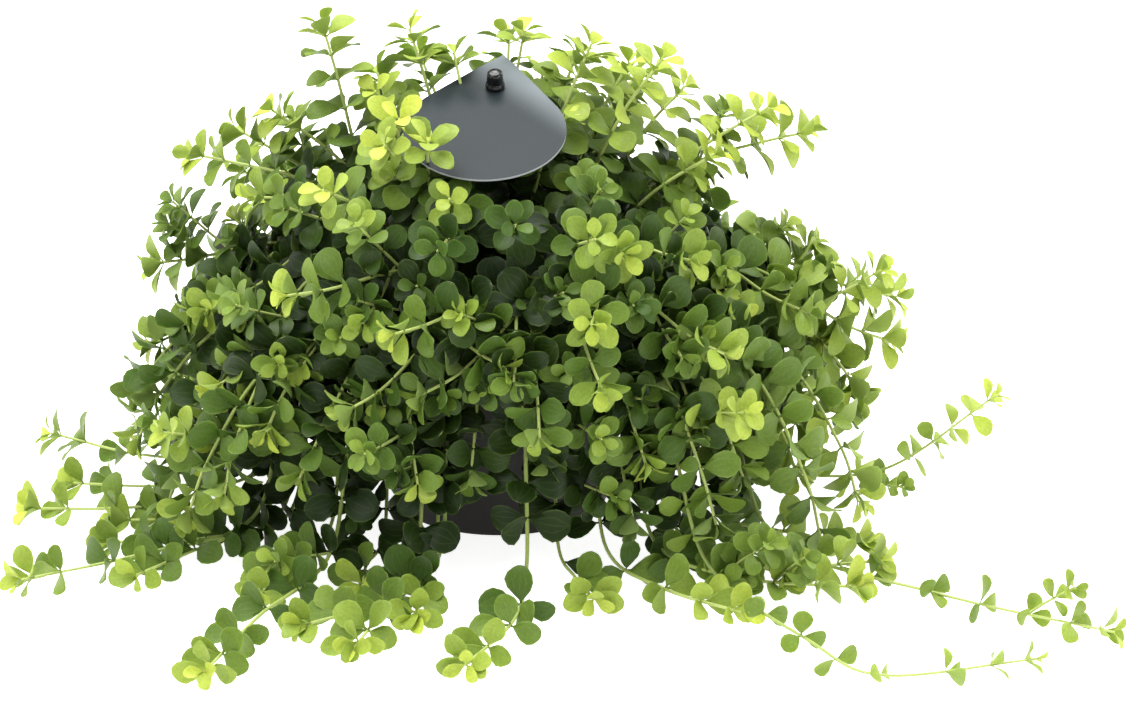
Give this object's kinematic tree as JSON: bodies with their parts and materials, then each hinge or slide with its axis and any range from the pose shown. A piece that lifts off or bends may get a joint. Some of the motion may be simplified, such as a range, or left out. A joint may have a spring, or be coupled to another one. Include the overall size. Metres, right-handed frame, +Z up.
{
  "type": "potted peperomia deppeana",
  "caption": "Trailing house plant with whorls of small round leaves on thin stems, growing from soil in a tapered plastic pot, with a drop-shaped plant label on a stake.",
  "frame": {"origin": "centre of the flat underside of the pot, on the surface that it stands on", "axes": "+Z up; -Y towards the front, where the label faces; +X to the right seen from the front"},
  "size_m": [0.4223, 0.376, 0.2019],
  "materials": {
    "pot_plastic": "satin",
    "potting_soil": "matte",
    "foliage": "satin",
    "young_foliage": "satin",
    "label_card": "satin",
    "stake_plastic": "satin"
  },
  "bodies": {
    "root": {"pot": "pot_plastic", "soil": "potting_soil", "label_stake": "stake_plastic", "label_card": "label_card", "crown_stem_1": "young_foliage", "crown_stem_2": "young_foliage", "crown_stem_3": "young_foliage", "crown_stem_4": "young_foliage", "crown_stem_5": "young_foliage", "crown_stem_6": "young_foliage", "crown_stem_7": "young_foliage", "crown_stem_8": "young_foliage", "left_stem_1": "foliage", "left_stem_2": "foliage", "left_stem_3": "foliage", "left_stem_4": "foliage", "left_stem_5": "foliage", "left_stem_6": "foliage", "left_stem_7": "foliage", "left_stem_8": "foliage", "left_stem_9": "foliage", "left_stem_10": "foliage", "front_stem_1": "foliage", "front_stem_2": "foliage", "front_stem_3": "foliage", "front_stem_4": "foliage", "front_stem_5": "foliage", "front_stem_6": "foliage", "front_stem_7": "foliage", "right_stem_1": "foliage", "right_stem_2": "foliage", "right_stem_3": "foliage", "right_stem_4": "foliage", "right_stem_5": "foliage", "right_stem_6": "foliage", "right_stem_7": "foliage", "right_stem_8": "foliage", "right_stem_9": "foliage", "back_stem_1": "foliage", "back_stem_2": "foliage", "back_stem_3": "foliage", "back_stem_4": "foliage", "back_stem_5": "foliage", "back_stem_6": "foliage", "back_stem_7": "foliage", "back_stem_8": "foliage", "trail_stem_1": "foliage", "trail_stem_2": "foliage", "trail_stem_3": "foliage", "trail_stem_4": "foliage", "trail_stem_5": "foliage", "trail_stem_6": "foliage", "trail_stem_7": "foliage", "trail_stem_8": "foliage", "trail_stem_9": "foliage", "trail_stem_10": "foliage", "trail_stem_11": "foliage", "trail_stem_12": "foliage", "trail_stem_13": "foliage", "trail_stem_14": "foliage"}
  },
  "joints": []
}
